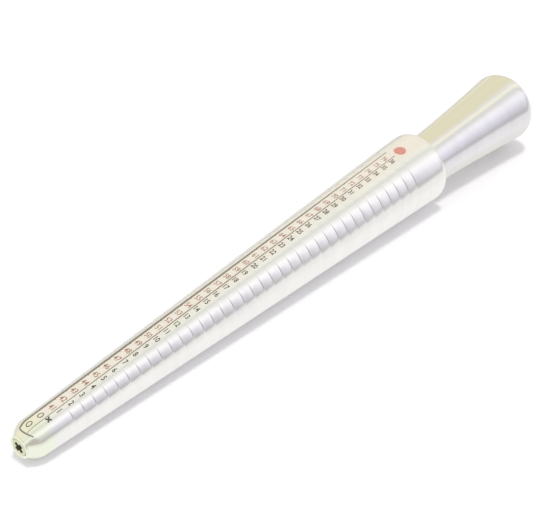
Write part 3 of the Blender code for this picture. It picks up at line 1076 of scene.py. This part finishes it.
def make_floor():
    """A wide pale floor that keeps the shadow and shows white to the camera and in the metal.
    Far off, the metal shows it a little darker, as the room's dim edge."""
    shape = bmesh.new()
    bmesh.ops.create_grid(shape, x_segments=1, y_segments=1, size=FLOOR_SIZE / 2)
    mesh = bpy.data.meshes.new("floor")
    shape.to_mesh(mesh)
    shape.free()
    floor = bpy.data.objects.new("floor", mesh)
    floor.location = (0, 0, -FLOOR_DROP)
    bpy.context.scene.collection.objects.link(floor)
    material, tree, shader = new_material("pale_floor")
    path = add_node(tree, "ShaderNodeLightPath")
    glossy = path.outputs["Is Glossy Ray"]
    in_metal = compute(tree, "MAXIMUM", glossy, path.outputs["Is Transmission Ray"])
    seen = compute(tree, "LESS_THAN", path.outputs["Diffuse Depth"], 0.5)
    in_metal = compute(tree, "MULTIPLY", in_metal, seen)
    place = add_node(tree, "ShaderNodeTexCoord")
    parts = add_node(tree, "ShaderNodeSeparateXYZ")
    tree.links.new(place.outputs["Object"], parts.inputs[0])
    aside = compute(tree, "ABSOLUTE", parts.outputs["Y"])
    first = smooth_range(tree, aside, FIRST_DUSK_NEAR, FIRST_DUSK_FAR, 0.0, FIRST_DUSK_SHARE)
    dusk = smooth_range(tree, aside, DUSK_NEAR, DUSK_FAR, 0.0, DUSK_SHARE)
    dusk = compute(tree, "MULTIPLY", compute(tree, "ADD", first, dusk), in_metal)
    paper = noise(tree, FLOOR_FIBRE_SCALE, detail=3.0)
    colour = mix_colours(tree, paper, FLOOR_COLOUR, FLOOR_FIBRE_COLOUR)
    glow = compute(tree, "MULTIPLY", in_metal, FLOOR_GLOW_SHARE)
    glow = compute(tree, "MAXIMUM", glow, dusk)
    feed(tree, shader.inputs["Base Color"], mix_colours(tree, glow, colour, BLACK))
    shader.inputs["Roughness"].default_value = FLOOR_ROUGHNESS
    shader.inputs["Specular IOR Level"].default_value = 0.0
    lift = compute(tree, "MULTIPLY", path.outputs["Is Camera Ray"], FLOOR_LIFT)
    lift = compute(tree, "MULTIPLY_ADD", in_metal, FLOOR_LIFT_IN_METAL, lift)
    lift = compute(tree, "MULTIPLY", lift, compute(tree, "SUBTRACT", 1.0, dusk))
    feed(tree, shader.inputs["Emission Strength"], lift)
    glow_colour = mix_colours(tree, in_metal, SHADOW_GLOW, FLOOR_GLOW)
    feed(tree, shader.inputs["Emission Color"], glow_colour)
    mesh.materials.append(material)


def scaled(tree, colour, factor):
    """A colour times a factor."""
    node = add_node(tree, "ShaderNodeVectorMath", operation="SCALE")
    feed(tree, node.inputs[0], colour)
    feed(tree, node.inputs["Scale"], factor)
    return node.outputs[0]


def make_room():
    """Soft studio light from all round, and the darker side where the photographer stands. Low
    on the camera's side it is brighter towards the big end."""
    world = bpy.data.worlds.new("studio")
    bpy.context.scene.world = world
    world.use_nodes = True
    tree = world.node_tree
    background = tree.nodes["Background"]
    place = add_node(tree, "ShaderNodeTexCoord")
    parts = add_node(tree, "ShaderNodeSeparateXYZ")
    tree.links.new(place.outputs["Generated"], parts.inputs[0])
    side = compute(tree, "MULTIPLY", parts.outputs["Y"], -1.0)
    angle = compute(tree, "ARCTAN2", side, parts.outputs["Z"])
    share = compute(tree, "MULTIPLY_ADD", angle, 1 / (2 * math.pi), 0.5)
    ramp = add_node(tree, "ShaderNodeValToRGB")
    tree.links.new(share, ramp.inputs["Fac"])
    ramp.color_ramp.interpolation = "EASE"
    stops = ramp.color_ramp.elements
    for index, (degrees, tone) in enumerate(ROOM_TONES):
        position = degrees / 360 + 0.5
        stop = stops[index] if index < len(stops) else stops.new(position)
        stop.position = position
        stop.color = (*tone, 1)
    gain = smooth_range(
        tree, parts.outputs["X"], SMALL_END_WAY, BIG_END_WAY, SMALL_END_LOSS, BIG_END_GAIN
    )
    low = smooth_range(tree, angle, LOW_START, LOW_FULL)
    tone = scaled(tree, ramp.outputs["Color"], compute(tree, "MULTIPLY_ADD", low, gain, 1.0))
    front = add_node(tree, "ShaderNodeVectorMath", operation="DOT_PRODUCT")
    tree.links.new(place.outputs["Generated"], front.inputs[0])
    front.inputs[1].default_value = Vector(FRONT_DIRECTION).normalized()
    dark = smooth_range(tree, front.outputs["Value"], FRONT_FAR, FRONT_NEAR)
    tone = mix_colours(tree, dark, tone, FRONT_DARK)
    path = add_node(tree, "ShaderNodeLightPath")
    soft = (SOFT_LIGHT, SOFT_LIGHT, SOFT_LIGHT, 1)
    scattered = compute(tree, "GREATER_THAN", path.outputs["Diffuse Depth"], 0.5)
    tone = mix_colours(tree, scattered, tone, soft)
    tone = mix_colours(tree, path.outputs["Is Camera Ray"], tone, WHITE)
    tree.links.new(tone, background.inputs["Color"])
    background.inputs["Strength"].default_value = 1.0


def make_lamp():
    """The large lamp overhead, leaning a little to the camera's side. It draws the shadow."""
    lamp = bpy.data.lights.new("overhead_lamp", "SUN")
    lamp.energy = LAMP_STRENGTH
    lamp.angle = LAMP_SPREAD
    piece = bpy.data.objects.new("overhead_lamp", lamp)
    piece.rotation_euler.x = LAMP_LEAN
    piece.visible_glossy = False
    bpy.context.scene.collection.objects.link(piece)


def make_camera():
    """The camera at the photograph's viewing angle."""
    data = bpy.data.cameras.new("camera")
    data.lens = CAMERA_LENS
    camera = bpy.data.objects.new("camera", data)
    camera.location = CAMERA_PLACE
    way = Vector(CAMERA_AIM) - Vector(CAMERA_PLACE)
    camera.rotation_euler = way.to_track_quat("-Z", "Y").to_euler()
    bpy.context.scene.collection.objects.link(camera)
    bpy.context.scene.camera = camera


bpy.context.scene.view_settings.view_transform = "Standard"
make_camera()
make_room()
make_lamp()
make_floor()
make_gauge_body()
make_tip_screw()
make_end_plug()
make_handle()
make_handle_cap()
make_table_lines()
make_numbers(
    "girth_numbers",
    FIRST_GIRTH_NUMBER,
    GIRTH_WIDTH_SHARE,
    GIRTH_WEIGHT,
    GIRTH_SET_BACK,
    girth_arc,
    RED_INK,
    "red_print",
)
make_numbers(
    "size_numbers",
    FIRST_SIZE_NUMBER,
    SIZE_WIDTH_SHARE,
    SIZE_WEIGHT,
    SIZE_SET_BACK,
    size_arc,
    DARK_INK,
    "dark_print",
)
make_marks()
make_dot()
finish_hidden_nodes()
